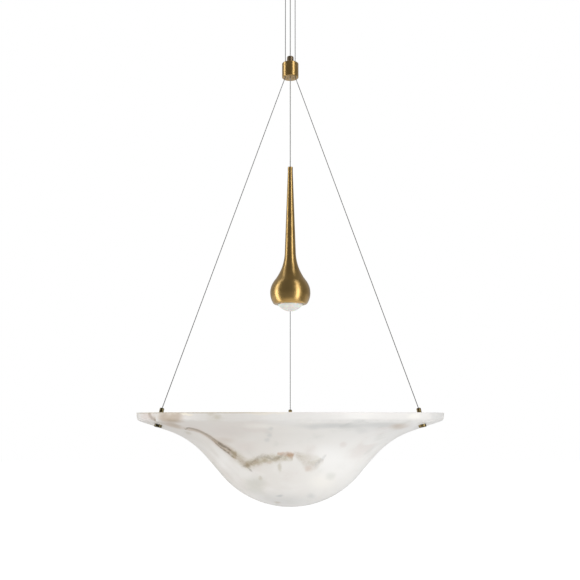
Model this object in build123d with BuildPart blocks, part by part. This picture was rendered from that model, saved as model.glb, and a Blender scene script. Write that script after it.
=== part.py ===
from build123d import *
import math
import os

# Bowl pendant light that hangs from the ceiling on three steel cables.
# Millimetres, +Z up. The origin is the middle of the ceiling plate's top face.

# Fits and small features that several pieces share
thread_clearance = 0.05
seat_gap = 0.05
turning_gap = 0.3
small_chamfer = 0.6
grub_screw_radius = 1.5

# Ceiling plate
plate_radius = 72.0
plate_thickness = 2.5
skirt_height = 9.0
skirt_thickness = 2.0
entry_hole_radius = 10.0
ceiling_screw_spacing = 100.0
slot_length = 12.0
slot_width = 5.0
earth_screw_place = (-45.0, -30.0)
earth_screw_radius = 2.0
earth_head_radius = 3.6
earth_head_height = 2.4

# Canopy cover
cover_clearance = 0.6
cover_wall = 1.2
cover_height = 45.0
cover_edge_radius = 4.0
cover_hole_clearance = 0.5
thumb_screw_azimuths = (30.0, 150.0, 270.0)
thumb_screw_drop = 5.0
thumb_screw_radius = 2.0
thumb_head_radius = 3.8
thumb_head_length = 6.0
thumb_screw_tip_gap = 0.25

# Ball swivel
ball_radius = 25.0
ball_drop = 30.0
ball_top_cut = 12.0
ball_flat_radius = 15.0
ball_hollow_radius = 17.0
ball_floor = 8.0
liner_thickness = 1.5
liner_upper_angle = 2.0
liner_lower_angle = 24.0
socket_lower_angle = 35.0
socket_radius = 35.0
socket_rim_above = 2.0
post_radius = 3.0
post_circle_radius = 31.2
post_azimuths = (0.0, 120.0, 240.0)
post_screw_radius = 1.5
post_screw_head_radius = 2.9
post_screw_reach = 7.0
post_screw_clearance = 0.1

# Electrical pieces in the canopy
driver_length = 60.0
driver_width = 24.0
driver_height = 20.0
driver_near_side = 38.0
driver_corner = 2.0
terminal_length = 28.0
terminal_width = 16.0
terminal_height = 14.0
terminal_near_side = 40.0
terminal_poles = 3
terminal_screw_radius = 1.8
terminal_screw_height = 1.0
terminal_screw_recess = 1.0
terminal_corner = 1.0
lead_diameter = 3.0
lead_first_corner_x = -36.0
lead_outer_corners = ((-51.0, -22.0), (-51.0, 16.0))
lead_last_corner_x = -43.0
lead_bends = (9.0, 15.0, 30.0, 5.0)

# Cables and power cord
cable_diameter = 1.5
cord_diameter = 2.0
cable_circle_radius = 11.8
cable_bore_clearance = 0.3
cord_bore_clearance = 0.3
cable_exit_bend = 8.0
cable_ferrule_bend = 25.0
sleeve_radius = 2.0
sleeve_length = 8.0
cord_clamp_radius = 5.0
cord_clamp_length = 8.0
cord_end_gap = 0.5
slack_below_plate = 5.5
slack_bend = 12.0

# Gather hub
hub_height = 32.0
hub_radius = 17.25
hub_top_chamfer = 1.2
hub_bottom_chamfer = 1.2
hub_spigot_radius = 4.6
hub_spigot_height = 9.0
collet_radius = 3.2
collet_length = 11.0
collet_above_spigot = 1.5
nut_radius = 7.0
nut_height = 15.0
nut_edge_radius = 2.0
hub_grub_offset = 5.7
hub_grub_length = 8.0
hub_grub_recess = 0.4
hex_socket_radius = 0.85
hex_socket_depth = 1.5

# Heights above the brim's top plane
ceiling_to_brim = 965.0
hub_bottom_above_brim = 695.0
drop_top_above_brim = 502.0

# Bowl, its section in shares of its radius
bowl_radius = 300.0
depth_share = 0.602
floor_curve_share = 0.59
flare_curve_share = 0.5633
steepest_slope = 49.1
brim_slope = 18.4
brim_edge = 14.6
brim_edge_lean = 2.2
brim_land = 2.0
brim_lower_round = 8.0
brim_upper_round = 0.8
bowl_wall = 10.0
flare_thickening = 7.0

# Brim fittings
fitting_azimuths = {"back": 90.0, "left": 210.0, "right": 330.0}
fitting_inset = 23.5
fitting_tilt = 12.5
brim_hole_radius = 3.0
spot_face_margin = 0.4
spot_face_cut = 3.0
spigot_radius = 2.5
washer_thickness = 1.0
washer_radius = 5.5
ferrule_radius = 4.1
ferrule_length = 16.5
ferrule_chamfer = 1.2
ferrule_floor = 3.0
set_screw_from_top = 6.0
end_nut_radius = 7.2
end_nut_thickness = 4.6
end_nut_chamfer = 0.8
end_nut_floor = 1.2
spigot_end_gap = 0.4

# Drop lamp
cap_radius = 5.2
cap_length = 11.0
cap_round = 0.6
cap_spigot_radius = 3.4
cap_spigot_length = 7.0
stem_length = 164.0
stem_foot_radius = 11.1
stem_bore_radius = 3.5
stem_spigot_length = 10.0
cord_in_stem = 95.0
neck_curve_radius = 98.0
bulb_radius = 40.6
bulb_equator_below_top = 262.0
bulb_wall = 1.6
bulb_mouth_below_equator = 23.6
mouth_curve_radius = 5.0
mouth_radius = 26.6
mouth_collar = 5.6
tube_radius = 5.0
tube_bore_radius = 4.0
tube_thread = 8.0
heat_sink_radius = 24.0
heat_sink_height = 26.0
heat_sink_above_mouth = 21.0
heat_sink_core_radius = 14.0
heat_sink_fins = 16
heat_sink_slot = 2.4
heat_sink_base = 4.0
board_radius = 12.0
board_thickness = 1.6
chip_radius = 6.5
chip_thickness = 1.0
reflector_throat_radius = 8.0
reflector_mouth_radius = 23.0
reflector_wall = 1.2
reflector_above_ring = 0.3
lens_ring_height = 5.5
lens_ring_wall = 1.2
lens_ring_below_mouth = 0.3
lens_drop = 13.6
lens_wall = 2.0
lens_rim_height = 4.0
lead_in_stem = 4.0

os.makedirs("parts", exist_ok=True)


def sine(degrees):
    return math.sin(math.radians(degrees))


def cosine(degrees):
    return math.cos(math.radians(degrees))


def polar(radius, azimuth, z):
    return Vector(radius * cosine(azimuth), radius * sine(azimuth), z)


def finish(piece, name):
    piece.part.label = name
    export_step(piece.part, f"parts/{name}.step")
    solids = piece.part.solids()
    print(f"{name}: {len(solids)} solid, {sum(solid.volume for solid in solids):.0f} mm3")


# Heights that several pieces share
brim_z = -ceiling_to_brim
bowl_depth = depth_share * bowl_radius
floor_radius = floor_curve_share * bowl_radius
flare_radius = flare_curve_share * bowl_radius
fitting_radius = bowl_radius - fitting_inset
cover_bottom = -cover_height
ball_z = -ball_drop
ball_bottom = ball_z - math.sqrt(ball_radius**2 - ball_flat_radius**2)
ball_floor_top = ball_bottom + ball_floor
socket_seat_radius = ball_radius + 2 * turning_gap + liner_thickness
socket_bottom = ball_z - socket_seat_radius * sine(socket_lower_angle)
socket_top = ball_z + socket_rim_above
plate_bottom = -plate_thickness
cover_inner_radius = plate_radius + cover_clearance
cover_outer_radius = cover_inner_radius + cover_wall
hub_bottom = brim_z + hub_bottom_above_brim
hub_top = hub_bottom + hub_height
drop_top = brim_z + drop_top_above_brim
stem_top = drop_top - cap_length
stem_foot = stem_top - stem_length
bulb_equator = drop_top - bulb_equator_below_top
bulb_mouth = bulb_equator - bulb_mouth_below_equator
cable_radius = cable_diameter / 2
cord_radius = cord_diameter / 2
cable_bore_radius = cable_radius + cable_bore_clearance
cord_bore_radius = cord_radius + cord_bore_clearance
stem_spigot_radius = stem_foot_radius - bulb_wall - 2 * seat_gap
stem_taper = math.degrees(math.atan((stem_foot_radius - cap_radius) / stem_length))
# The bulb's round part starts where the neck's curve, tangent to the stem, meets it
neck_reach = (
    stem_foot_radius * cosine(stem_taper)
    + (stem_foot - bulb_equator) * sine(stem_taper)
    + neck_curve_radius
)
bulb_upper_angle = stem_taper + math.degrees(
    math.acos(neck_reach / (bulb_radius + neck_curve_radius))
)
# The bulb's round part ends where the mouth's curve, tangent to the mouth's plane, meets it
bulb_lower_angle = math.degrees(
    math.asin(
        (bulb_mouth_below_equator - mouth_curve_radius) / (bulb_radius - mouth_curve_radius)
    )
)

# Ceiling plate: a pressed steel disc with a skirt that the cover slides over
with BuildPart() as ceiling_plate:
    with BuildSketch(Plane.XY.offset(plate_bottom)):
        Circle(plate_radius)
    extrude(amount=plate_thickness)
    with BuildSketch(Plane.XY.offset(plate_bottom)):
        Circle(plate_radius)
        Circle(plate_radius - skirt_thickness, mode=Mode.SUBTRACT)
    extrude(amount=-skirt_height)
    with BuildSketch():
        Circle(entry_hole_radius)
        with GridLocations(ceiling_screw_spacing, 0, 2, 1):
            SlotOverall(slot_length, slot_width)
        with Locations(earth_screw_place):
            Circle(earth_screw_radius + thread_clearance)
    extrude(amount=-plate_thickness, mode=Mode.SUBTRACT)
    with Locations(*[Location(polar(post_circle_radius, a, 0)) for a in post_azimuths]):
        CounterSinkHole(
            post_screw_radius + post_screw_clearance,
            post_screw_head_radius + post_screw_clearance,
            plate_thickness,
        )
finish(ceiling_plate, "ceiling_plate")

# Earth screw, driven up into the plate from below
with BuildPart() as earth_screw:
    with BuildSketch(Plane.XY.offset(plate_bottom)):
        with Locations(earth_screw_place):
            Circle(earth_head_radius)
    extrude(amount=-earth_head_height)
    chamfer(earth_screw.faces().sort_by(Axis.Z)[0].edges(), small_chamfer)
    with BuildSketch(Plane.XY.offset(plate_bottom)):
        with Locations(earth_screw_place):
            Circle(earth_screw_radius)
    extrude(amount=plate_thickness)
finish(earth_screw, "earth_screw")

# Canopy cover: a spun brass cup, open at the top, with a hole for the swivel socket
with BuildPart() as canopy_cover:
    with BuildSketch(Plane.XY.offset(cover_bottom)):
        Circle(cover_outer_radius)
    extrude(amount=cover_height)
    fillet(canopy_cover.faces().sort_by(Axis.Z)[0].edges(), cover_edge_radius)
    offset(
        amount=-cover_wall,
        openings=canopy_cover.faces().sort_by(Axis.Z)[-1],
        mode=Mode.REPLACE,
    )
    with BuildSketch(Plane.XY.offset(cover_bottom)):
        Circle(socket_radius + cover_hole_clearance)
    extrude(amount=cover_wall, mode=Mode.SUBTRACT)
    for azimuth in thumb_screw_azimuths:
        outward = polar(1, azimuth, 0)
        with BuildSketch(Plane(polar(plate_radius, azimuth, -thumb_screw_drop), z_dir=outward)):
            Circle(thumb_screw_radius + thread_clearance)
        extrude(amount=cover_clearance + 2 * cover_wall, mode=Mode.SUBTRACT)
finish(canopy_cover, "canopy_cover")

# Thumb screws, threaded in the cover, their tips against the plate's skirt
with BuildPart() as canopy_screws:
    for azimuth in thumb_screw_azimuths:
        outward = polar(1, azimuth, 0)
        tip = Plane(polar(plate_radius, azimuth, -thumb_screw_drop), z_dir=outward)
        head = tip.offset(cover_clearance + cover_wall + seat_gap)
        with BuildSketch(tip.offset(thumb_screw_tip_gap)):
            Circle(thumb_screw_radius)
        extrude(amount=cover_clearance + cover_wall + seat_gap - thumb_screw_tip_gap)
        with BuildSketch(head):
            Circle(thumb_head_radius)
        extrude(amount=thumb_head_length)
        outer_face = canopy_screws.faces().sort_by(Axis(head.origin, outward))[-1]
        chamfer(outer_face.edges(), small_chamfer)
finish(canopy_screws, "canopy_screws")

# Swivel socket: a ring whose seat is part of a sphere
with BuildPart() as swivel_socket:
    with BuildSketch(Plane.XY.offset(socket_bottom)):
        Circle(socket_radius)
    extrude(amount=socket_top - socket_bottom)
    with BuildSketch(Plane.XZ):
        with BuildLine():
            seat = CenterArc((0, ball_z), socket_seat_radius, 0, -90)
            Polyline(
                (socket_seat_radius, ball_z),
                (socket_seat_radius, socket_top),
                (0, socket_top),
                seat @ 1,
            )
        make_face()
    revolve(axis=Axis.Z, mode=Mode.SUBTRACT)
    with Locations(
        *[
            Location(polar(post_circle_radius, a, socket_bottom), (180, 0, 0))
            for a in post_azimuths
        ]
    ):
        CounterSinkHole(
            post_screw_radius + post_screw_clearance,
            post_screw_head_radius + post_screw_clearance,
            socket_top - socket_bottom,
        )
finish(swivel_socket, "swivel_socket")

# Posts between the plate and the socket, tapped at both ends
with BuildPart() as socket_posts:
    with BuildSketch(Plane.XY.offset(socket_top)):
        with PolarLocations(post_circle_radius, len(post_azimuths), post_azimuths[0]):
            Circle(post_radius)
            Circle(post_screw_radius + thread_clearance, mode=Mode.SUBTRACT)
    extrude(amount=plate_bottom - socket_top)
finish(socket_posts, "socket_posts")


def countersunk_screws(face, inward):
    """One countersunk screw per post, its head flush with the face at that height."""
    cone = post_screw_head_radius - post_screw_radius
    depth = abs(face - (plate_bottom if inward < 0 else socket_top)) + post_screw_reach
    with BuildPart() as screws:
        with BuildSketch(Plane.XY.offset(face)):
            with PolarLocations(post_circle_radius, len(post_azimuths), post_azimuths[0]):
                Circle(post_screw_head_radius)
        extrude(amount=inward * cone, taper=45)
        with BuildSketch(Plane.XY.offset(face)):
            with PolarLocations(post_circle_radius, len(post_azimuths), post_azimuths[0]):
                Circle(post_screw_radius)
        extrude(amount=inward * depth)
    return screws


finish(countersunk_screws(0, -1), "plate_screws")
finish(countersunk_screws(socket_bottom, 1), "socket_screws")

# Bearing liner: a thin spherical band between the ball and the socket
with BuildPart() as swivel_liner:
    liner_radius = ball_radius + turning_gap
    liner_span = liner_lower_angle - liner_upper_angle
    with BuildSketch(Plane.XZ):
        with BuildLine():
            near = CenterArc((0, ball_z), liner_radius, -liner_upper_angle, -liner_span)
            far = CenterArc(
                (0, ball_z), liner_radius + liner_thickness, -liner_upper_angle, -liner_span
            )
            Line(near @ 0, far @ 0)
            Line(near @ 1, far @ 1)
        make_face()
    revolve(axis=Axis.Z)
finish(swivel_liner, "swivel_liner")

# Swivel ball: a hollow truncated sphere that carries the cables and the cord
with BuildPart() as swivel_ball:
    with BuildSketch(Plane.XZ):
        with BuildLine():
            low = -math.degrees(math.acos(ball_flat_radius / ball_radius))
            high = math.degrees(math.asin(ball_top_cut / ball_radius))
            side = CenterArc((0, ball_z), ball_radius, low, high - low)
            Polyline(
                side @ 1,
                (ball_hollow_radius, ball_z + ball_top_cut),
                (ball_hollow_radius, ball_floor_top),
                (0, ball_floor_top),
                (0, ball_bottom),
                side @ 0,
            )
        make_face()
    revolve(axis=Axis.Z)
    with BuildSketch(Plane.XY.offset(ball_bottom)):
        Circle(cord_bore_radius)
        with Locations(*[polar(cable_circle_radius, a, 0) for a in fitting_azimuths.values()]):
            Circle(cable_bore_radius)
    extrude(amount=ball_floor, mode=Mode.SUBTRACT)
finish(swivel_ball, "swivel_ball")

# Crimped sleeves that stop the cables on the ball's floor
with BuildPart() as cable_sleeves:
    with BuildSketch(Plane.XY.offset(ball_floor_top)):
        with Locations(*[polar(cable_circle_radius, a, 0) for a in fitting_azimuths.values()]):
            Circle(sleeve_radius)
            Circle(cable_radius, mode=Mode.SUBTRACT)
    extrude(amount=sleeve_length)
finish(cable_sleeves, "cable_sleeves")

# Clamp that holds the power cord on the ball's floor
with BuildPart() as cord_clamp:
    with BuildSketch(Plane.XY.offset(ball_floor_top)):
        Circle(cord_clamp_radius)
        Circle(cord_radius, mode=Mode.SUBTRACT)
    extrude(amount=cord_clamp_length)
    chamfer(cord_clamp.faces().sort_by(Axis.Z)[-1].outer_wire().edges(), small_chamfer)
finish(cord_clamp, "cord_clamp")

# LED driver under the plate
driver_middle = driver_near_side + driver_width / 2
with BuildPart() as led_driver:
    with BuildSketch(Plane.XY.offset(plate_bottom)):
        with Locations((0, driver_middle)):
            RectangleRounded(driver_length, driver_width, driver_corner)
    extrude(amount=-driver_height)
    fillet(led_driver.faces().sort_by(Axis.Z)[0].edges(), driver_corner / 2)
finish(led_driver, "led_driver")

# Terminal block under the plate, with one screw hole per pole
terminal_middle = -terminal_near_side - terminal_width / 2
pole_spacing = terminal_length / terminal_poles
with BuildPart() as terminal_block:
    with BuildSketch(Plane.XY.offset(plate_bottom)):
        with Locations((0, terminal_middle)):
            RectangleRounded(terminal_length, terminal_width, terminal_corner)
    extrude(amount=-terminal_height)
    with BuildSketch(Plane.XY.offset(plate_bottom - terminal_height)):
        with Locations((0, terminal_middle)):
            with GridLocations(pole_spacing, 0, terminal_poles, 1):
                Circle(terminal_screw_radius + thread_clearance)
    extrude(amount=terminal_screw_recess + terminal_screw_height, mode=Mode.SUBTRACT)
finish(terminal_block, "terminal_block")

with BuildPart() as terminal_screws:
    with BuildSketch(Plane.XY.offset(plate_bottom - terminal_height + terminal_screw_recess)):
        with Locations((0, terminal_middle)):
            with GridLocations(pole_spacing, 0, terminal_poles, 1):
                Circle(terminal_screw_radius)
    extrude(amount=terminal_screw_height)
finish(terminal_screws, "terminal_screws")


def sweep_tube(points, radii, diameter, name):
    """A round cord along straight runs joined by tangent arcs."""
    with BuildPart() as tube:
        with BuildLine() as route:
            if radii:
                FilletPolyline(*points, radius=radii)
            else:
                Line(*points)
        path = route.wire()
        with BuildSketch(Plane(path @ 0, z_dir=path % 0)):
            Circle(diameter / 2)
        sweep(path=path)
    length = path.length
    expected = math.pi * diameter**2 / 4 * length
    ratio = tube.part.volume / expected
    print(f"{name}: {length:.1f} mm long, bends {radii}, volume/expected {ratio:.4f}")
    finish(tube, name)


# Lead from the terminal block to the driver, round the left of the swivel
lead_z = plate_bottom - terminal_height / 2
lead_points = [
    (-terminal_length / 2, terminal_middle, lead_z),
    (lead_first_corner_x, terminal_middle, lead_z),
    *[(x, y, lead_z) for x, y in lead_outer_corners],
    (lead_last_corner_x, driver_middle, lead_z),
    (-driver_length / 2, driver_middle, lead_z),
]
sweep_tube(lead_points, lead_bends, lead_diameter, "driver_lead")

# Slack of the power cord between the swivel and the driver
slack_z = plate_bottom - slack_below_plate
slack_points = [(0, 0, ball_z + cord_end_gap), (0, 0, slack_z), (0, driver_near_side, slack_z)]
sweep_tube(slack_points, [slack_bend], cord_diameter, "power_cord_slack")

# Power cord from the swivel to the hub
upper_cord_points = [(0, 0, ball_z), (0, 0, hub_bottom + cord_end_gap)]
sweep_tube(upper_cord_points, [], cord_diameter, "power_cord_upper")

# Power cord from the hub down into the stem of the drop
lower_cord_points = [(0, 0, hub_bottom), (0, 0, drop_top - cord_in_stem)]
sweep_tube(lower_cord_points, [], cord_diameter, "power_cord_lower")

# Gather hub: three cable bores and a spigot for the cord nut
with BuildPart() as gather_hub:
    with BuildSketch(Plane.XY.offset(hub_bottom)):
        Circle(hub_radius)
    extrude(amount=hub_height)
    chamfer(gather_hub.faces().sort_by(Axis.Z)[-1].edges(), hub_top_chamfer)
    chamfer(gather_hub.faces().sort_by(Axis.Z)[0].edges(), hub_bottom_chamfer)
    with BuildSketch(Plane.XY.offset(hub_top)):
        Circle(hub_spigot_radius)
    extrude(amount=hub_spigot_height)
    with BuildSketch(Plane.XY.offset(hub_top + hub_spigot_height)):
        Circle(collet_radius + thread_clearance)
    extrude(amount=collet_above_spigot - collet_length, mode=Mode.SUBTRACT)
    with BuildSketch(Plane.XY.offset(hub_bottom)):
        Circle(cord_bore_radius)
        with Locations(*[polar(cable_circle_radius, a, 0) for a in fitting_azimuths.values()]):
            Circle(cable_bore_radius)
    extrude(amount=hub_height + hub_spigot_height, mode=Mode.SUBTRACT)
    with BuildSketch(Plane.XY.offset(hub_bottom)):
        with GridLocations(2 * hub_grub_offset, 0, 2, 1):
            Circle(grub_screw_radius + thread_clearance)
    extrude(amount=hub_grub_recess + hub_grub_length, mode=Mode.SUBTRACT)
finish(gather_hub, "gather_hub")

# Collet that grips the cord inside the nut
with BuildPart() as cord_collet:
    collet_top = hub_top + hub_spigot_height + collet_above_spigot
    with BuildSketch(Plane.XY.offset(collet_top)):
        Circle(collet_radius)
        Circle(cord_radius, mode=Mode.SUBTRACT)
    extrude(amount=-collet_length)
    chamfer(cord_collet.faces().sort_by(Axis.Z)[-1].outer_wire().edges(), small_chamfer)
finish(cord_collet, "cord_collet")

# Cord nut: the smooth round cap on the hub
with BuildPart() as cord_nut:
    nut_top = hub_top + nut_height
    with BuildSketch(Plane.XY.offset(hub_top + seat_gap)):
        Circle(nut_radius)
    extrude(amount=nut_height - seat_gap)
    fillet(cord_nut.faces().sort_by(Axis.Z)[-1].edges(), nut_edge_radius)
    with BuildSketch(Plane.XY.offset(hub_top)):
        Circle(hub_spigot_radius + thread_clearance)
    extrude(amount=hub_spigot_height + collet_above_spigot + turning_gap, mode=Mode.SUBTRACT)
    with BuildSketch(Plane.XY.offset(hub_top)):
        Circle(cord_bore_radius)
    extrude(amount=nut_height, mode=Mode.SUBTRACT)
finish(cord_nut, "cord_nut")

# Two grub screws in the hub's underside
with BuildPart() as hub_grub_screws:
    with BuildSketch(Plane.XY.offset(hub_bottom + hub_grub_recess)):
        with GridLocations(2 * hub_grub_offset, 0, 2, 1):
            Circle(grub_screw_radius)
    extrude(amount=hub_grub_length)
    with BuildSketch(Plane.XY.offset(hub_bottom + hub_grub_recess)):
        with GridLocations(2 * hub_grub_offset, 0, 2, 1):
            RegularPolygon(hex_socket_radius, 6)
    extrude(amount=hex_socket_depth, mode=Mode.SUBTRACT)
finish(hub_grub_screws, "hub_grub_screws")


def bowl_side(rim, slope, floor, floor_curve, flare_curve):
    """From the axis up to the rim: floor arc, straight side, flare arc and brim, all tangent."""
    turn = steepest_slope - slope
    upward = Vector(-sine(slope), cosine(slope))
    floor_arc = CenterArc((0, floor + floor_curve), floor_curve, -90, steepest_slope)
    rise = (Vector(*rim) - floor_arc @ 1).dot(upward)
    side_length = (rise - flare_curve * (1 - cosine(turn))) / sine(turn)
    side = PolarLine(floor_arc @ 1, side_length, steepest_slope)
    flare = JernArc(side @ 1, side % 1, flare_curve, -turn)
    Line(flare @ 1, rim)


# The fittings stand steeper than the brim's slope, on round spot faces sunk in it
spot_face_radius = end_nut_radius + spot_face_margin
spot_face_depth = spot_face_radius * sine(brim_slope - fitting_tilt)
brim_thickness = brim_edge * cosine(brim_slope) + (brim_land - brim_edge_lean) * sine(brim_slope)
clamped_thickness = brim_thickness / cosine(brim_slope - fitting_tilt) - 2 * spot_face_depth


def fitting_plane(azimuth):
    """On the spot face under the brim, +Z up through the brim."""
    below_brim = brim_edge + (fitting_inset - brim_edge_lean) * math.tan(math.radians(brim_slope))
    place = polar(fitting_radius, azimuth, brim_z - below_brim)
    upward = polar(-sine(fitting_tilt), azimuth, cosine(fitting_tilt))
    return Plane(place + upward * spot_face_depth, x_dir=polar(1, azimuth + 90, 0), z_dir=upward)


# Bowl of marbled acrylic
inner_rim = (bowl_radius - brim_land, brim_z)
outer_rim = (bowl_radius - brim_edge_lean, brim_z - brim_edge)
with BuildPart() as bowl:
    with BuildSketch(Plane.XZ) as bowl_section:
        with BuildLine():
            bowl_side(outer_rim, brim_slope, brim_z - bowl_depth, floor_radius, flare_radius)
            bowl_side(
                inner_rim,
                brim_slope,
                brim_z - bowl_depth + bowl_wall,
                floor_radius - bowl_wall,
                flare_radius + flare_thickening,
            )
            Polyline(inner_rim, (bowl_radius, brim_z), outer_rim)
            Line((0, brim_z - bowl_depth), (0, brim_z - bowl_depth + bowl_wall))
        make_face()
        lower_corner = bowl_section.vertices().sort_by_distance(outer_rim)[0]
        fillet(lower_corner, brim_lower_round)
        upper_corner = bowl_section.vertices().sort_by_distance((bowl_radius, brim_z))[0]
        fillet(upper_corner, brim_upper_round)
    revolve(axis=Axis.Z)
    for azimuth in fitting_azimuths.values():
        seat = fitting_plane(azimuth)
        with BuildSketch(seat):
            Circle(brim_hole_radius)
        extrude(amount=2 * brim_edge, both=True, mode=Mode.SUBTRACT)
        with BuildSketch(seat):
            Circle(spot_face_radius)
        extrude(amount=-spot_face_cut, mode=Mode.SUBTRACT)
        with BuildSketch(seat.offset(clamped_thickness)):
            Circle(spot_face_radius)
        extrude(amount=spot_face_cut, mode=Mode.SUBTRACT)
finish(bowl, "bowl")

# The fittings that hold the brim to the cables
ferrule_base = clamped_thickness + washer_thickness + 2 * seat_gap
ferrule_top = ferrule_base + ferrule_length
nut_seat = -washer_thickness - 2 * seat_gap
spigot_end = nut_seat - end_nut_thickness + end_nut_floor + spigot_end_gap
set_screw_height = ferrule_top - set_screw_from_top
for side_name, azimuth in fitting_azimuths.items():
    seat = fitting_plane(azimuth)
    inward = polar(-cosine(fitting_tilt), azimuth, -sine(fitting_tilt))
    screw_plane = Plane(seat.origin + seat.z_dir * set_screw_height, z_dir=inward)

    with BuildPart() as ferrule:
        with BuildSketch(seat.offset(ferrule_base)):
            Circle(ferrule_radius)
        extrude(amount=ferrule_length)
        chamfer(ferrule.faces().sort_by(Axis(seat.origin, seat.z_dir))[-1].edges(), ferrule_chamfer)
        with BuildSketch(seat.offset(spigot_end)):
            Circle(spigot_radius)
        extrude(amount=ferrule_base - spigot_end)
        with BuildSketch(seat.offset(ferrule_base + ferrule_floor)):
            Circle(cable_radius + thread_clearance)
        extrude(amount=ferrule_length - ferrule_floor, mode=Mode.SUBTRACT)
        with BuildSketch(screw_plane):
            Circle(grub_screw_radius + thread_clearance)
        extrude(amount=ferrule_radius, mode=Mode.SUBTRACT)
    finish(ferrule, f"brim_ferrule_{side_name}")

    with BuildPart() as set_screw:
        with BuildSketch(screw_plane.offset(cable_radius + thread_clearance)):
            Circle(grub_screw_radius)
        extrude(amount=ferrule_radius - cable_radius - 2 * thread_clearance)
    finish(set_screw, f"ferrule_set_screw_{side_name}")

    with BuildPart() as upper_washer:
        with BuildSketch(seat.offset(clamped_thickness + seat_gap)):
            Circle(washer_radius)
            Circle(spigot_radius + thread_clearance, mode=Mode.SUBTRACT)
        extrude(amount=washer_thickness)
    finish(upper_washer, f"upper_washer_{side_name}")

    with BuildPart() as lower_washer:
        with BuildSketch(seat.offset(-seat_gap)):
            Circle(washer_radius)
            Circle(spigot_radius + thread_clearance, mode=Mode.SUBTRACT)
        extrude(amount=-washer_thickness)
    finish(lower_washer, f"lower_washer_{side_name}")

    with BuildPart() as end_nut:
        with BuildSketch(seat.offset(nut_seat)):
            Circle(end_nut_radius)
        extrude(amount=-end_nut_thickness)
        chamfer(end_nut.faces().sort_by(Axis(seat.origin, seat.z_dir))[0].edges(), end_nut_chamfer)
        with BuildSketch(seat.offset(nut_seat)):
            Circle(spigot_radius + thread_clearance)
        extrude(amount=end_nut_floor - end_nut_thickness, mode=Mode.SUBTRACT)
    finish(end_nut, f"end_nut_{side_name}")

    cable_points = [
        polar(cable_circle_radius, azimuth, ball_floor_top + sleeve_length),
        polar(cable_circle_radius, azimuth, hub_bottom),
        seat.origin + seat.z_dir * ferrule_top,
        seat.origin + seat.z_dir * (ferrule_base + ferrule_floor),
    ]
    for point in cable_points:
        print(f"cable {side_name}: {point.X:.3f} {point.Y:.3f} {point.Z:.3f}")
    sweep_tube(
        cable_points,
        [cable_exit_bend, cable_ferrule_bend],
        cable_diameter,
        f"suspension_cable_{side_name}",
    )

# Cord cap on top of the stem
with BuildPart() as cord_cap:
    with BuildSketch(Plane.XY.offset(stem_top)):
        Circle(cap_radius)
    extrude(amount=cap_length)
    fillet(cord_cap.faces().sort_by(Axis.Z)[-1].edges(), cap_round)
    with BuildSketch(Plane.XY.offset(stem_top)):
        Circle(cap_spigot_radius)
    extrude(amount=-cap_spigot_length)
    with BuildSketch(Plane.XY.offset(stem_top - cap_spigot_length)):
        Circle(cord_bore_radius)
    extrude(amount=cap_length + cap_spigot_length, mode=Mode.SUBTRACT)
finish(cord_cap, "cord_cap")

# Tapered stem
with BuildPart() as drop_stem:
    with BuildSketch(Plane.XZ):
        with BuildLine():
            Polyline(
                (stem_bore_radius, stem_top),
                (cap_radius, stem_top),
                (stem_foot_radius, stem_foot),
                (stem_spigot_radius, stem_foot),
                (stem_spigot_radius, stem_foot - stem_spigot_length),
                (stem_bore_radius, stem_foot - stem_spigot_length),
                close=True,
            )
        make_face()
    revolve(axis=Axis.Z)
    with BuildSketch(Plane.XY.offset(stem_foot - stem_spigot_length)):
        Circle(tube_radius + thread_clearance)
    extrude(amount=stem_spigot_length, mode=Mode.SUBTRACT)
finish(drop_stem, "drop_stem")


def bulb_outline(inset):
    """The drop's curve from the stem's foot to the mouth, moved in by the inset."""
    radius = bulb_radius - inset
    turned = -bulb_upper_angle - bulb_lower_angle
    round_arc = CenterArc((0, bulb_equator), radius, bulb_upper_angle, turned)
    neck_turn = stem_taper - bulb_upper_angle
    neck = JernArc(round_arc @ 0, round_arc % 0 * -1, neck_curve_radius + inset, neck_turn)
    foot = Line(neck @ 1, (stem_foot_radius - inset / cosine(stem_taper), stem_foot))
    mouth_turn = bulb_lower_angle - 90
    mouth = JernArc(round_arc @ 1, round_arc % 1, mouth_curve_radius - inset, mouth_turn)
    return foot @ 1, mouth @ 1


# Bulb-shaped shell of the drop, with a collar inside its mouth for the lens ring
with BuildPart() as drop_bulb:
    with BuildSketch(Plane.XZ):
        with BuildLine():
            outer_foot, outer_mouth = bulb_outline(0)
            inner_foot, inner_mouth = bulb_outline(bulb_wall)
            Line(outer_foot, inner_foot)
            Polyline(
                outer_mouth,
                (mouth_radius, bulb_mouth),
                (mouth_radius, bulb_mouth + mouth_collar),
                (mouth_radius + bulb_wall, bulb_mouth + mouth_collar),
                (mouth_radius + bulb_wall, bulb_mouth + bulb_wall),
                inner_mouth,
            )
        make_face()
    revolve(axis=Axis.Z)
finish(drop_bulb, "drop_bulb")

# Threaded tube that hangs the heat sink from the stem
sink_bottom = bulb_mouth + heat_sink_above_mouth
sink_top = sink_bottom + heat_sink_height
with BuildPart() as inner_tube:
    with BuildSketch(Plane.XY.offset(sink_top - tube_thread)):
        Circle(tube_radius)
        Circle(tube_bore_radius, mode=Mode.SUBTRACT)
    extrude(amount=stem_foot - sink_top + tube_thread)
finish(inner_tube, "inner_tube")

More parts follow.
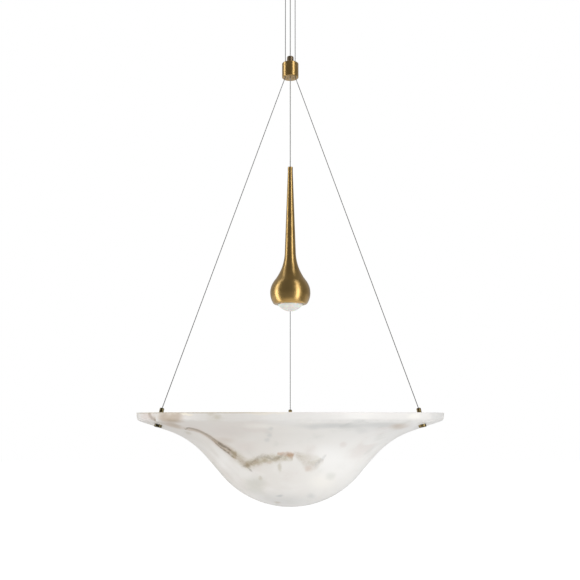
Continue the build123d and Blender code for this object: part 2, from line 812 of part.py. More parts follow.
# Finned heat sink
with BuildPart() as heat_sink:
    with BuildSketch(Plane.XY.offset(sink_bottom)):
        Circle(heat_sink_radius)
    extrude(amount=heat_sink_height)
    with BuildSketch(Plane.XY.offset(sink_bottom + heat_sink_base)):
        fin_depth = heat_sink_radius - heat_sink_core_radius
        with PolarLocations(heat_sink_radius, heat_sink_fins):
            Rectangle(2 * fin_depth, heat_sink_slot)
    extrude(amount=heat_sink_height - heat_sink_base, mode=Mode.SUBTRACT)
    with BuildSketch(Plane.XY.offset(sink_top)):
        Circle(tube_radius + thread_clearance)
    extrude(amount=-tube_thread, mode=Mode.SUBTRACT)
    with BuildSketch(Plane.XY.offset(sink_bottom)):
        Circle(cord_bore_radius)
    extrude(amount=heat_sink_height, mode=Mode.SUBTRACT)
finish(heat_sink, "heat_sink")

# End of the cord inside the drop, down to the LED board
lamp_lead_points = [(0, 0, stem_foot + lead_in_stem), (0, 0, sink_bottom)]
sweep_tube(lamp_lead_points, [], cord_diameter, "lamp_lead")

# LED board and its chip
with BuildPart() as led_board:
    with BuildSketch(Plane.XY.offset(sink_bottom)):
        Circle(board_radius)
    extrude(amount=-board_thickness)
finish(led_board, "led_board")

with BuildPart() as led_chip:
    with BuildSketch(Plane.XY.offset(sink_bottom - board_thickness)):
        Circle(chip_radius)
    extrude(amount=-chip_thickness)
finish(led_chip, "led_chip")

# Conical reflector between the board and the lens ring
ring_bottom = bulb_mouth - lens_ring_below_mouth
ring_top = ring_bottom + lens_ring_height
with BuildPart() as reflector:
    with BuildSketch(Plane.XZ):
        with BuildLine():
            throat = sink_bottom - board_thickness
            mouth = ring_top + reflector_above_ring
            Polyline(
                (reflector_throat_radius, throat),
                (reflector_mouth_radius, mouth),
                (reflector_mouth_radius + reflector_wall, mouth),
                (reflector_throat_radius + reflector_wall, throat),
                close=True,
            )
        make_face()
    revolve(axis=Axis.Z)
finish(reflector, "reflector")

# Lens ring, turned in the mouth of the shell
lens_ring_radius = mouth_radius - turning_gap
lens_radius = lens_ring_radius - lens_ring_wall - seat_gap
with BuildPart() as lens_ring:
    with BuildSketch(Plane.XY.offset(ring_bottom)):
        Circle(lens_ring_radius)
        Circle(lens_ring_radius - lens_ring_wall, mode=Mode.SUBTRACT)
    extrude(amount=lens_ring_height)
finish(lens_ring, "lens_ring")

# Frosted lens: a dome with a short straight rim inside the ring
dome_radius = (lens_radius**2 + lens_drop**2) / (2 * lens_drop)
dome_middle = ring_bottom - lens_drop + dome_radius
dome_angle = math.degrees(math.asin(lens_radius / dome_radius))
with BuildPart() as drop_lens:
    with BuildSketch(Plane.XZ):
        with BuildLine():
            outer_dome = CenterArc((0, dome_middle), dome_radius, -90, dome_angle)
            inner_dome = CenterArc((0, dome_middle), dome_radius - lens_wall, -90, dome_angle)
            Polyline(
                outer_dome @ 1,
                (lens_radius, ring_bottom + lens_rim_height),
                (lens_radius - lens_wall, ring_bottom + lens_rim_height),
                inner_dome @ 1,
            )
            Line(outer_dome @ 0, inner_dome @ 0)
        make_face()
    revolve(axis=Axis.Z)
finish(drop_lens, "drop_lens")
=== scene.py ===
import math

import bpy
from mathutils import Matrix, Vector


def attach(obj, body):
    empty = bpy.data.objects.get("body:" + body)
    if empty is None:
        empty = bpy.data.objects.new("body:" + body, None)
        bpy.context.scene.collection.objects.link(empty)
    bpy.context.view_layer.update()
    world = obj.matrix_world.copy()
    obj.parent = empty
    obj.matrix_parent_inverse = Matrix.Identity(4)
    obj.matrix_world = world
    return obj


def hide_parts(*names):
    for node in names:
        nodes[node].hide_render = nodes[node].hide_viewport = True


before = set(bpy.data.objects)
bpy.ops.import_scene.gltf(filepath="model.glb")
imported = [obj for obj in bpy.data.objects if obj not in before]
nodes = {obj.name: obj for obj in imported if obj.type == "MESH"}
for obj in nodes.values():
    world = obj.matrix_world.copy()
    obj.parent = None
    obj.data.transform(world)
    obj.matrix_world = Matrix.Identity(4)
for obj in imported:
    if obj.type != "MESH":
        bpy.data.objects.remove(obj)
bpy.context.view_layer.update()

# Sizes and places from the CAD model, in metres
BRIM_TOP = -0.965
BRIM_EDGE = 0.0146
BRIM_EDGE_LEAN = 0.0022
BOWL_RADIUS = 0.300
CABLE_RADIUS = 0.00075
CORD_RADIUS = 0.001

# How far each side's cable and fittings are turned from the back, in degrees
SIDES = {"back": 0, "left": 120, "right": -120}

FLOOR_LEVEL = -2.6
FLOOR_REACH = 30.0

scene = bpy.context.scene
scene.view_settings.view_transform = "Standard"


# Camera

CAMERA_TILT_UP = 8.405

camera_data = bpy.data.cameras.new("camera")
camera_data.lens = 53.29
camera_data.sensor_width = 36.0
camera_data.clip_end = 60.0
camera = bpy.data.objects.new("camera", camera_data)
camera.location = (-0.0006, -1.7159, -0.97281)
camera.rotation_euler = (math.radians(90 + CAMERA_TILT_UP), 0, 0)
scene.collection.objects.link(camera)
scene.camera = camera


# Helpers for node trees

class Shader:
    """A material's node tree, with short calls for the nodes that it uses."""

    def __init__(self, name):
        self.material = bpy.data.materials.new(name)
        self.material.use_nodes = True
        self.tree = self.material.node_tree
        self.bsdf = self.tree.nodes["Principled BSDF"]

    def put(self, socket, value):
        if isinstance(value, bpy.types.NodeSocket):
            self.tree.links.new(value, socket)
        else:
            socket.default_value = value

    def node(self, kind, **settings):
        made = self.tree.nodes.new(kind)
        for key, value in settings.items():
            setattr(made, key, value)
        return made

    def set(self, **values):
        for key, value in values.items():
            self.put(self.bsdf.inputs[key.replace("_", " ")], value)

    def place(self):
        """Object coordinates: a node's place in the object's own frame, in metres."""
        return self.node("ShaderNodeTexCoord").outputs["Object"]

    def math(self, operation, a, b=0.0):
        made = self.node("ShaderNodeMath", operation=operation)
        for socket, value in zip(made.inputs, (a, b)):
            self.put(socket, value)
        return made.outputs[0]

    def vector(self, operation, a, b=(0.0, 0.0, 0.0), scale=None):
        made = self.node("ShaderNodeVectorMath", operation=operation)
        self.put(made.inputs[0], a)
        self.put(made.inputs[1], b)
        if scale is not None:
            self.put(made.inputs["Scale"], scale)
        return made.outputs["Value" if operation == "LENGTH" else "Vector"]

    def split(self, vector):
        made = self.node("ShaderNodeSeparateXYZ")
        self.put(made.inputs[0], vector)
        return made.outputs

    def join(self, x, y, z):
        made = self.node("ShaderNodeCombineXYZ")
        for socket, value in zip(made.inputs, (x, y, z)):
            self.put(socket, value)
        return made.outputs[0]

    def noise(self, vector, scale, detail, roughness=0.5, distortion=0.0, colour=False):
        made = self.node("ShaderNodeTexNoise")
        self.put(made.inputs["Vector"], vector)
        self.put(made.inputs["Scale"], scale)
        self.put(made.inputs["Detail"], detail)
        self.put(made.inputs["Roughness"], roughness)
        self.put(made.inputs["Distortion"], distortion)
        return made.outputs["Color" if colour else "Fac"]

    def ease(self, value, low, high, to_low=0.0, to_high=1.0):
        """Smooth step of a value between two limits."""
        made = self.node("ShaderNodeMapRange", interpolation_type="SMOOTHSTEP")
        for key, given in (("Value", value), ("From Min", low), ("From Max", high),
                           ("To Min", to_low), ("To Max", to_high)):
            self.put(made.inputs[key], given)
        return made.outputs[0]

    def mix(self, share, a, b):
        made = self.node("ShaderNodeMix", data_type="RGBA")
        self.put(made.inputs[0], share)
        for socket, value in ((made.inputs[6], a), (made.inputs[7], b)):
            if not isinstance(value, bpy.types.NodeSocket):
                value = (*value, 1.0)
            self.put(socket, value)
        return made.outputs[2]

    def bump(self, height, distance, strength):
        made = self.node("ShaderNodeBump")
        self.put(made.inputs["Height"], height)
        self.put(made.inputs["Distance"], distance)
        self.put(made.inputs["Strength"], strength)
        return made.outputs[0]

    def curve(self, value, points):
        """A smooth function of a value from 0 to 1, through the given points."""
        made = self.node("ShaderNodeFloatCurve")
        self.put(made.inputs["Value"], value)
        line = made.mapping.curves[0]
        line.points[0].location = points[0]
        line.points[-1].location = points[-1]
        for point in points[1:-1]:
            line.points.new(*point)
        made.mapping.extend = "HORIZONTAL"
        made.mapping.update()
        return made.outputs[0]


def dress(material, *names):
    """Gives the material to CAD nodes."""
    for name in names:
        mesh = nodes[name].data
        mesh.materials.clear()
        mesh.materials.append(material)


def radial_distance(shader, place):
    """Distance from the object's upright middle line."""
    x, y, _ = shader.split(place)
    squares = shader.math("ADD", shader.math("MULTIPLY", x, x), shader.math("MULTIPLY", y, y))
    return shader.math("SQRT", squares)


# Materials

def turned_brass(name, colour, darker_tone, roughness, darker_share_most=0.55):
    """Satin brass off a lathe, lacquered, with a soft patina and a few darker handling marks."""
    s = Shader(name)
    place = s.place()
    patina = s.noise(place, 26.0, 2.0, 0.5, 0.4)
    marks = s.ease(s.noise(place, 70.0, 2.0, 0.5), 0.58, 0.82)
    tone = s.mix(s.ease(patina, 0.38, 0.72, 0.0, darker_share_most), colour, darker_tone)
    tone = s.mix(s.math("MULTIPLY", marks, 0.18), tone, darker_tone)
    rough = s.math("ADD", s.math("MULTIPLY", patina, 0.06), roughness - 0.03)
    rough = s.math("ADD", rough, s.math("MULTIPLY", marks, 0.05))
    s.set(Base_Color=tone, Metallic=1.0, Roughness=rough)
    s.set(Coat_Weight=0.65, Coat_Roughness=0.20)
    return s.material


brass = turned_brass("satin_brass", (0.66, 0.43, 0.145), (0.52, 0.32, 0.09), 0.29)
# Two darker copies of the same brass paint shade: a near-black one for the left fittings and the hub's grub
# screws, and a half-bright one for the right and back fittings.
dark_brass = turned_brass("dark_brass", (0.17, 0.135, 0.05), (0.05, 0.04, 0.018), 0.24, 0.90)
brass_in_painted_half_shade = turned_brass("brass_painted_half_shade", (0.34, 0.25, 0.09), (0.15, 0.10, 0.035), 0.25, 0.85)
# The cord nut gets a darker, greyer and rougher brass than the rest.
nut_brass = turned_brass("darker_nut_brass", (0.30, 0.22, 0.13), (0.20, 0.14, 0.08), 0.44)


def zinc():
    """Zinc-plated steel with its small flakes."""
    s = Shader("zinc_plated_steel")
    place = s.place()
    flakes = s.node("ShaderNodeTexVoronoi")
    s.put(flakes.inputs["Vector"], place)
    s.put(flakes.inputs["Scale"], 260.0)
    shade = s.split(flakes.outputs["Color"])[0]
    tone = s.mix(shade, (0.56, 0.57, 0.59), (0.72, 0.73, 0.75))
    cloud = s.noise(place, 45.0, 4.0)
    tone = s.mix(s.ease(cloud, 0.4, 0.75, 0.0, 0.35), tone, (0.45, 0.46, 0.47))
    s.set(Base_Color=tone, Metallic=1.0, Roughness=s.math("ADD", s.math("MULTIPLY", shade, 0.12), 0.30),
          Normal=s.bump(s.noise(place, 900.0, 2.0), 0.00003, 0.3))
    return s.material


def moulded(name, light, dark, roughness, grain=1400.0, depth=0.00003):
    """Moulded plastic with a fine grain and slight unevenness of tone."""
    s = Shader(name)
    place = s.place()
    cloud = s.noise(place, 60.0, 4.0, 0.55)
    tone = s.mix(s.ease(cloud, 0.3, 0.75), light, dark)
    s.set(Base_Color=tone, Roughness=s.math("ADD", s.math("MULTIPLY", cloud, 0.12), roughness - 0.06),
          Normal=s.bump(s.noise(place, grain, 3.0), depth, 0.4))
    return s.material


steel = zinc()
nylon = moulded("bearing_nylon", (0.83, 0.81, 0.74), (0.76, 0.74, 0.66), 0.42)
cord_jacket = moulded("grey_cord_jacket", (0.30, 0.30, 0.29), (0.24, 0.24, 0.23), 0.50, 2600.0)
white_jacket = moulded("white_lead_jacket", (0.84, 0.84, 0.82), (0.76, 0.76, 0.73), 0.45)
driver_plastic = moulded("driver_case", (0.86, 0.86, 0.84), (0.80, 0.80, 0.77), 0.48, 1100.0, 0.00006)
terminal_plastic = moulded("terminal_housing", (0.72, 0.70, 0.64), (0.64, 0.62, 0.56), 0.40)
washer_plastic = moulded("clear_washer", (0.62, 0.61, 0.57), (0.54, 0.53, 0.49), 0.30)
board_white = moulded("circuit_board", (0.86, 0.87, 0.85), (0.80, 0.81, 0.79), 0.35, 700.0)
phosphor = moulded("led_phosphor", (0.90, 0.72, 0.18), (0.84, 0.64, 0.12), 0.55, 3000.0)


def machined_aluminium(name, tone, roughness):
    """Turned aluminium with fine rings about the middle line."""
    s = Shader(name)
    place = s.place()
    cloud = s.noise(place, 70.0, 4.0)
    rings = s.noise(s.join(radial_distance(s, place), 0.0, 0.0), 3000.0, 2.0)
    dark = tuple(channel * 0.82 for channel in tone)
    s.set(Base_Color=s.mix(s.ease(cloud, 0.35, 0.7), tone, dark), Metallic=1.0,
          Roughness=s.math("ADD", s.math("MULTIPLY", cloud, 0.1), roughness - 0.05),
          Normal=s.bump(rings, 0.00002, 0.35))
    return s.material


aluminium = machined_aluminium("heat_sink_aluminium", (0.74, 0.75, 0.77), 0.36)
reflector_metal = machined_aluminium("bright_reflector", (0.90, 0.90, 0.91), 0.14)


def frosted():
    """Sand-blasted plastic that light goes into a little."""
    s = Shader("frosted_lens")
    place = s.place()
    cloud = s.noise(place, 90.0, 4.0)
    s.set(Base_Color=s.mix(s.ease(cloud, 0.3, 0.7), (0.85, 0.84, 0.80), (0.79, 0.78, 0.74)),
          Roughness=s.math("ADD", s.math("MULTIPLY", cloud, 0.1), 0.42),
          Normal=s.bump(s.noise(place, 2400.0, 3.0), 0.00004, 0.35))
    s.set(Subsurface_Weight=0.25, Subsurface_Scale=0.004)
    return s.material


lens = frosted()


# Marbled acrylic. A mark's place is given on the bowl as if it were unrolled to a flat disc:
# its way along the section from the middle, in millimetres, towards the same side as on the
# plan. A mark runs through the wall, so the same one shows on the outside and the inside.

# Radii on the bowl, and the way along its section from the middle to each, in millimetres
UNROLLED = [(0, 0), (25, 25.1), (50, 50.7), (75, 77.4), (100, 106.3), (125, 138.8), (150, 176.4),
            (175, 213.9), (200, 245.9), (225, 274.3), (250, 300.9), (275, 327.2), (300, 353.6)]
UNROLLED_MOST = UNROLLED[-1][1] / 1000

# Least width or distance to divide by, and how far inside its foot the brim's edge still counts
SMALLEST = 0.0001
EDGE_MARGIN = 0.0003

# A mark fades out this many radii or half widths from its middle
MARK_EDGE = 1.15

STONE = {
    "white": (0.93, 0.92, 0.90),
    "cream": (0.93, 0.905, 0.85),
    "pale": (0.87, 0.81, 0.69),
    "pinkish": (0.70, 0.62, 0.58),
    "grey": (0.54, 0.55, 0.54),
    "greenish": (0.64, 0.65, 0.60),
    "olive": (0.46, 0.40, 0.27),
    "tan": (0.40, 0.31, 0.21),
    "rust": (0.55, 0.34, 0.22),
    "brown": (0.52, 0.41, 0.31),
    "umber": (0.17, 0.13, 0.085),
}

# Centre, radii and turn of each soft patch, its colour, its strength and how soft its edge is
PATCHES = [
    (-130, -260, 78, 42, -57, "pinkish", 0.38, 1.0),
    (-99, -211, 40, 20, -36, "pinkish", 0.32, 1.0),
    # Painted light on the lower left of the bowl.
    (-151, -115, 52, 18, -78, "white", 0.35, 1.0),
    (-72, -121, 36, 20, -54, "greenish", 0.45, 1.0),
    # The next two patches paint light on the lower right of the bowl.
    (86, -192, 60, 34, 43, "white", 0.70, 1.0),
    (65, -128, 42, 28, 47, "cream", 0.66, 1.0),
    (-20, -335, 52, 20, -5, "grey", 0.10, 1.0),
    # The next four grey patches lie under the brim on the right: painted shade under the brim's overhang,
    # over faint grey marks there.
    (109, -306, 72, 20, 22, "grey", 0.40, 1.0),
    (60, -318, 60, 18, 11, "grey", 0.34, 1.0),
    (188, -272, 60, 20, 40, "grey", 0.40, 1.0),
    (146, -284, 96, 26, 32, "grey", 0.16, 1.0),
    (-56, -362, 90, 5, -9, "pale", 0.45, 1.0),
    (325, -158, 52, 12, 64, "grey", 0.30, 0.5),
    (260, -249, 30, 8, 46, "cream", 0.50, 1.0),
    (-249, -254, 46, 19, -45, "brown", 0.62, 0.55),
    (-248, -210, 34, 26, -50, "brown", 0.80, 0.9),
    (-243, -225, 22, 16, -66, "tan", 0.34, 1.0),
    (-205, -232, 40, 22, -66, "pinkish", 0.55, 1.0),
    (-316, -172, 50, 15, -62, "pinkish", 0.80, 1.0),
    (-77, -105, 54, 26, -60, "olive", 0.16, 1.0),
    (-142, -211, 30, 14, -34, "brown", 0.30, 1.0),
    (-62, -318, 46, 20, -11, "cream", 0.50, 1.0),
    # Painted light on the lower right of the bowl.
    (104, -150, 84, 42, 45, "white", 0.60, 1.0),
    (-262, -243, 30, 12, -47, "tan", 0.45, 1.0),
    (-240, -262, 30, 12, -60, "tan", 0.50, 0.8),
    (-213, -293, 19, 3, -30, "pale", 0.85, 0.6),
    (-145, -330, 12, 7, -24, "olive", 0.34, 1.0),
    (-161, -328, 12, 4, -26, "olive", 0.30, 1.0),
    (-150, -322, 26, 12, -24, "olive", 0.16, 1.0),
    (-224, -170, 26, 8, -76, "olive", 0.40, 1.0),
    (-87, -152, 9, 3.4, 28, "umber", 0.40, 0.9),
    (-23, -179, 15, 5.5, -86, "olive", 0.40, 1.0),
    (0, -211, 11, 9, -90, "rust", 0.66, 0.9),
    (39, -174, 12, 9, 42, "rust", 0.24, 1.0),
    (-91, -161, 11, 7, -61, "tan", 0.75, 1.0),
    (-91, -161, 6, 4, -61, "umber", 0.40, 1.0),
    (-68, -178, 10, 8, -40, "tan", 0.45, 1.0),
    (-54, -190, 8, 6, -45, "tan", 0.55, 1.0),
    (-28, -201, 8, 6, -30, "tan", 0.60, 1.0),
    (-24, -204, 5, 4, -27, "umber", 0.40, 1.0),
    (-44, -188, 9, 5, -20, "rust", 0.26, 1.0),
    (-41, -309, 14, 7, -85, "grey", 0.42, 1.0),
    (-43, -272, 14, 7, -83, "grey", 0.38, 1.0),
    (-49, -253, 10, 8, -73, "grey", 0.36, 1.0),
    (-46, -290, 34, 12, -88, "grey", 0.14, 1.0),
    (-63, -141, 9, 6, -73, "olive", 0.34, 1.0),
    (-20, -100, 9, 4.5, -27, "grey", 0.60, 0.9),
    (-25, -65, 10, 7, -56, "brown", 0.50, 0.9),
    (45, -314, 20, 14, 77, "grey", 0.22, 1.0),
    (149, -257, 30, 14, 59, "grey", 0.22, 1.0),
    (228, -224, 50, 18, 60, "brown", 0.55, 1.0),
    (223, -233, 26, 10, 64, "brown", 0.20, 1.0),
    (115, -210, 14, 9, 70, "pinkish", 0.40, 1.0),
    (84, -133, 19, 11, 58, "greenish", 0.38, 1.0),
    (42, -91, 16, 9, 69, "grey", 0.34, 1.0),
    (-14, -80, 68, 38, 0, "grey", 0.32, 1.0),
]

# Points and half widths of each vein, its colour, its strength and how soft its edge is
VEINS = [
    ([(-225, -207, 14), (-201, -222, 22), (-180, -203, 26), (-156, -181, 25), (-133, -176, 24),
      (-119, -171, 20)],
     "brown", 0.85, 1.0),
    ([(-224, -205, 4), (-213, -226, 9), (-201, -224, 14), (-180, -202, 17), (-156, -180, 15),
      (-133, -174, 14), (-119, -171, 12)],
     "tan", 0.70, 1.0),
    ([(-226, -202, 4), (-213, -228, 7), (-201, -227, 10), (-190.5, -217.5, 11), (-180, -206, 11),
      (-166, -192, 10.5), (-156, -184, 9), (-144, -183.5, 7.5), (-133, -178.5, 7), (-119, -172, 6)],
     "umber", 0.88, 1.0),
    ([(-180, -192, 2), (-164, -176, 4.5), (-153, -169, 5), (-136, -164, 4.5), (-124, -163, 3)],
     "umber", 0.74, 0.9),
    ([(-216, -222, 5), (-204, -223, 9), (-192, -214, 12), (-178, -200, 12), (-160, -184, 9)],
     "brown", 0.80, 1.0),
    ([(-131, -174, 14), (-110, -167, 20), (-95, -162, 18), (-82, -172, 20), (-70, -183, 16),
      (-52, -194, 15.5), (-31, -200, 14), (-5, -206, 12), (6, -205, 9)],
     "olive", 0.72, 1.0),
    ([(-126, -172, 10), (-105, -162, 12), (-95, -160, 11), (-84, -168, 10), (-70, -184, 8)],
     "tan", 0.62, 1.0),
    ([(-102, -152, 3), (-87, -165, 6), (-76, -185.5, 6), (-66, -196, 6), (-52, -201, 5),
      (-36, -198, 5.5), (-22, -206, 5), (-14, -213, 4), (4, -212, 4)],
     "umber", 0.30, 1.0),
    ([(-28, -213, 5), (-10, -213, 8), (6, -210, 9)],
     "rust", 0.60, 1.0),
    ([(6, -216, 8), (20, -206, 14), (30, -192, 17), (40, -179, 16), (56, -179, 14), (72, -184, 8)],
     "tan", 0.30, 1.0),
    ([(14, -210, 10), (34, -200, 18), (50, -192, 16), (66, -188, 8)],
     "olive", 0.30, 1.0),
    ([(54, -180, 8), (66, -186, 9), (78, -194, 5)],
     "grey", 0.40, 1.0),
    ([(98, -306, 6), (123, -318, 10), (140, -319, 9), (156, -306, 4)],
     "grey", 0.45, 1.0),
    ([(-312, -195, 10), (-300, -197, 13), (-291, -203, 13), (-283, -207, 11)],
     "brown", 0.80, 1.0),
    ([(-312, -195, 6), (-300, -197, 7), (-291, -203, 7), (-283, -207, 6)],
     "umber", 0.95, 1.0),
    ([(-312, -193, 6), (-300, -196, 9), (-286, -204, 7)],
     "pinkish", 0.55, 1.0),
    ([(-285, -206, 1.6), (-268, -198, 3), (-256, -192, 2)],
     "brown", 0.50, 1.0),
]


def unrolled_disc(s, x, y, z, reach):
    """A point's place on the bowl as if it were unrolled flat. The brim's edge goes on past the rim."""
    known = [(r / 1000 / BOWL_RADIUS, way / 1000 / UNROLLED_MOST) for r, way in UNROLLED]
    way = s.math("MULTIPLY", s.curve(s.math("DIVIDE", reach, BOWL_RADIUS), known), UNROLLED_MOST)
    on_edge = s.math("GREATER_THAN", reach, BOWL_RADIUS - BRIM_EDGE_LEAN - EDGE_MARGIN)
    up_edge = s.math("MAXIMUM", s.math("ADD", z, BRIM_EDGE - BRIM_TOP), 0.0)
    way = s.math("ADD", way, s.math("MULTIPLY", on_edge, up_edge))
    spread = s.math("DIVIDE", way, s.math("MAXIMUM", reach, SMALLEST))
    return s.join(s.math("MULTIPLY", x, spread), s.math("MULTIPLY", y, spread), 0.0)


def noise_shift(s, place, scale, detail, roughness):
    """A random shift in each direction, around none."""
    return s.vector("SUBTRACT", s.noise(place, scale, detail, roughness, colour=True), (0.5, 0.5, 0.5))


def with_patches(s, tone, disc):
    """Each patch is an ellipse that fades out softly."""
    for cx, cy, rx, ry, turn, colour, strength, soft in PATCHES:
        away = s.vector("SUBTRACT", disc, (cx / 1000, cy / 1000, 0.0))
        spun = s.node("ShaderNodeVectorRotate", rotation_type="Z_AXIS")
        s.put(spun.inputs["Vector"], away)
        s.put(spun.inputs["Angle"], math.radians(-turn))
        scaled = s.vector("MULTIPLY", spun.outputs[0], (1000 / rx, 1000 / ry, 0.0))
        share = s.ease(s.vector("LENGTH", scaled), MARK_EDGE, MARK_EDGE - soft, 0.0, strength)
        tone = s.mix(share, tone, STONE[colour])
    return tone


def with_veins(s, tone, disc, broken):
    """A vein's middle and width are smooth functions of the way along the disc's first axis."""
    along, across, _ = s.split(disc)
    for line, colour, strength, soft in VEINS:
        low, high = line[0][0] - 1, line[-1][0] + 1
        least, most = min(p[1] for p in line) - 5, max(p[1] for p in line) + 5
        widest = max(p[2] for p in line)
        share = s.math("DIVIDE", s.math("SUBTRACT", along, low / 1000), (high - low) / 1000)
        ends = [(low, line[0][1], 0.0)] + line + [(high, line[-1][1], 0.0)]
        bends = [((a - low) / (high - low), (b - least) / (most - least)) for a, b, _ in ends]
        middle = s.math("MULTIPLY", s.curve(share, bends), (most - least) / 1000)
        middle = s.math("ADD", middle, least / 1000)
        width = s.curve(share, [((a - low) / (high - low), w / widest) for a, _, w in ends])
        width = s.math("MAXIMUM", s.math("MULTIPLY", width, widest / 1000), SMALLEST)
        ratio = s.math("DIVIDE", s.math("ABSOLUTE", s.math("SUBTRACT", across, middle)), width)
        there = s.ease(ratio, MARK_EDGE, MARK_EDGE - soft, 0.0, strength)
        there = s.math("MULTIPLY", there, s.ease(width, SMALLEST, 6 * SMALLEST))
        tone = s.mix(s.math("MULTIPLY", there, broken), tone, STONE[colour])
    return tone


def marbled():
    """Pale marble with its drawn patches and veins in front, and veins from noise at the back."""
    s = Shader("marbled_acrylic")
    place = s.place()
    x, y, z = s.split(place)
    reach = radial_distance(s, place)

    # The marks lie on the unrolled disc, with their outlines moved about at three scales
    wander = noise_shift(s, place, 30.0, 3.0, 0.55)
    disc = unrolled_disc(s, x, y, z, reach)
    disc = s.vector("ADD", disc, s.vector("SCALE", wander, scale=0.010))
    disc = s.vector("ADD", disc, s.vector("SCALE", noise_shift(s, place, 130.0, 4.0, 0.6), scale=0.007))
    disc = s.vector("ADD", disc, s.vector("SCALE", noise_shift(s, place, 420.0, 3.0, 0.6), scale=0.003))
    disc = s.vector("MULTIPLY", disc, (1.0, 1.0, 0.0))

    # Plain tone with its clouds. The plain tone runs from darker on the left to paler on the right: painted
    # shade on the left and painted light on the right.
    clouds = [s.noise(s.vector("ADD", place, shift), scale, 4.0, 0.58, 0.5)
              for shift, scale in (((0.0, 0.0, 0.0), 7.0), ((1.3, 0.4, 2.1), 13.0), ((3.1, 2.2, 0.7), 17.0))]
    tone = s.mix(s.ease(x, -0.17, 0.15), (0.75, 0.71, 0.66), (0.88, 0.867, 0.84))
    tone = s.mix(s.ease(clouds[0], 0.42, 0.68, 0.0, 0.45), tone, STONE["white"])
    tone = s.mix(s.ease(clouds[1], 0.52, 0.72, 0.0, 0.34), tone, STONE["pinkish"])
    tone = s.mix(s.ease(clouds[2], 0.54, 0.74, 0.0, 0.30), tone, STONE["greenish"])

    # The brim's outer edge is painted greyer, most on the right: painted shade on the edge.
    on_brim = s.ease(z, BRIM_TOP - 0.020, BRIM_TOP - 0.013)
    edge_shade = s.math("MULTIPLY", on_brim, s.ease(x, -0.02, 0.10, 0.50, 0.80))
    edge_shade = s.math("MULTIPLY", edge_shade, s.ease(reach, BOWL_RADIUS - 0.009, BOWL_RADIUS - 0.003))
    tone = s.mix(edge_shade, tone, (0.715, 0.70, 0.68))

    tone = with_patches(s, tone, disc)
    mottle = s.ease(s.noise(place, 85.0, 4.0, 0.62), 0.34, 0.62, 0.55, 1.0)
    broken = s.math("MULTIPLY", s.ease(s.noise(place, 190.0, 4.0, 0.6), 0.30, 0.58, 0.60, 1.0), mottle)
    tone = with_veins(s, tone, disc, broken)

    # The top of the brim's edge is painted darker on the left, in front: painted shade along the top edge.
    at_top = s.ease(z, BRIM_TOP - 0.0030, BRIM_TOP - 0.0008, 0.0, 0.55)
    top_edge_shade = s.math("MULTIPLY", at_top, s.ease(x, 0.0, -0.09))
    tone = s.mix(s.math("MULTIPLY", top_edge_shade, s.ease(y, -0.06, -0.12)), tone, STONE["olive"])

    # Veins over the rear half, which the photograph doesn't show
    laid = s.vector("ADD", place, s.vector("SCALE", wander, scale=0.03))
    laid = s.vector("MULTIPLY", laid, (1.0, 0.45, 0.8))
    drift = s.noise(s.vector("ADD", laid, (0.2, 0.7, 0.1)), 4.2, 2.0, 0.45, 0.9)
    off = s.math("ABSOLUTE", s.math("SUBTRACT", drift, 0.5))
    rear = s.ease(y, 0.0, 0.05)
    gaps = s.ease(clouds[1], 0.40, 0.60)
    for low, strength, colour in ((0.055, 0.55, "brown"), (0.013, 0.60, "umber")):
        there = s.math("MULTIPLY", s.math("MULTIPLY", s.ease(off, low, 0.0, 0.0, strength), gaps), rear)
        tone = s.mix(s.math("MULTIPLY", there, broken), tone, STONE[colour])

    s.set(Base_Color=tone, Roughness=s.math("ADD", s.math("MULTIPLY", clouds[1], 0.10), 0.30),
          Normal=s.bump(s.noise(place, 55.0, 2.0), 0.0001, 0.15))
    s.set(Subsurface_Weight=0.12, Subsurface_Scale=0.006, Subsurface_Radius=(1.0, 0.95, 0.9))
    s.set(Coat_Weight=0.12, Coat_Roughness=0.12)
    return s.material


marble = marbled()

dress(brass, "swivel_socket", "swivel_ball", "canopy_cover", "canopy_screws", "gather_hub",
      "cord_cap", "drop_stem", "drop_bulb", "lens_ring", "earth_screw")
dress(nut_brass, "cord_nut")
# Painted shade: the right and back fittings take the half-shaded brass, and the left fittings and the grub
# screws take the deep-shaded brass.
dress(brass_in_painted_half_shade, "brim_ferrule_right", "brim_ferrule_back", "end_nut_right", "end_nut_back")
dress(dark_brass, "brim_ferrule_left", "hub_grub_screws", "end_nut_left")
dress(steel, "ceiling_plate", "plate_screws", "socket_posts", "socket_screws", "terminal_screws",
      "cable_sleeves", "inner_tube", *[f"ferrule_set_screw_{side}" for side in SIDES])
dress(nylon, "swivel_liner", "cord_clamp", "cord_collet")
dress(white_jacket, "driver_lead")
dress(cord_jacket, "power_cord_slack", "lamp_lead", "power_cord_upper", "power_cord_lower")
dress(driver_plastic, "led_driver")
dress(terminal_plastic, "terminal_block")
dress(washer_plastic, *[f"{level}_washer_{side}" for level in ("upper", "lower") for side in SIDES])
dress(aluminium, "heat_sink")
dress(board_white, "led_board")
dress(phosphor, "led_chip")
dress(reflector_metal, "reflector")
dress(lens, "drop_lens")
dress(marble, "bowl")


# Cables and power cord

def spline(name, points):
    """A smooth curve that starts and ends at the outer points."""
    data = bpy.data.curves.new(name, "CURVE")
    data.dimensions = "3D"
    data.resolution_u = 24
    line = data.splines.new("NURBS")
    line.points.add(len(points) - 1)
    for target, point in zip(line.points, points):
        target.co = (*point, 1.0)
    line.order_u = 3
    line.use_endpoint_u = True
    made = bpy.data.objects.new(name, data)
    scene.collection.objects.link(made)
    return made


def read_line(points, name):
    """Points along the route's smooth line."""
    guide = spline(name, points)
    bpy.context.view_layer.update()
    mesh = bpy.data.meshes.new_from_object(guide.evaluated_get(bpy.context.evaluated_depsgraph_get()))
    line = [vertex.co.copy() for vertex in mesh.vertices]
    bpy.data.objects.remove(guide)
    bpy.data.meshes.remove(mesh)
    return line


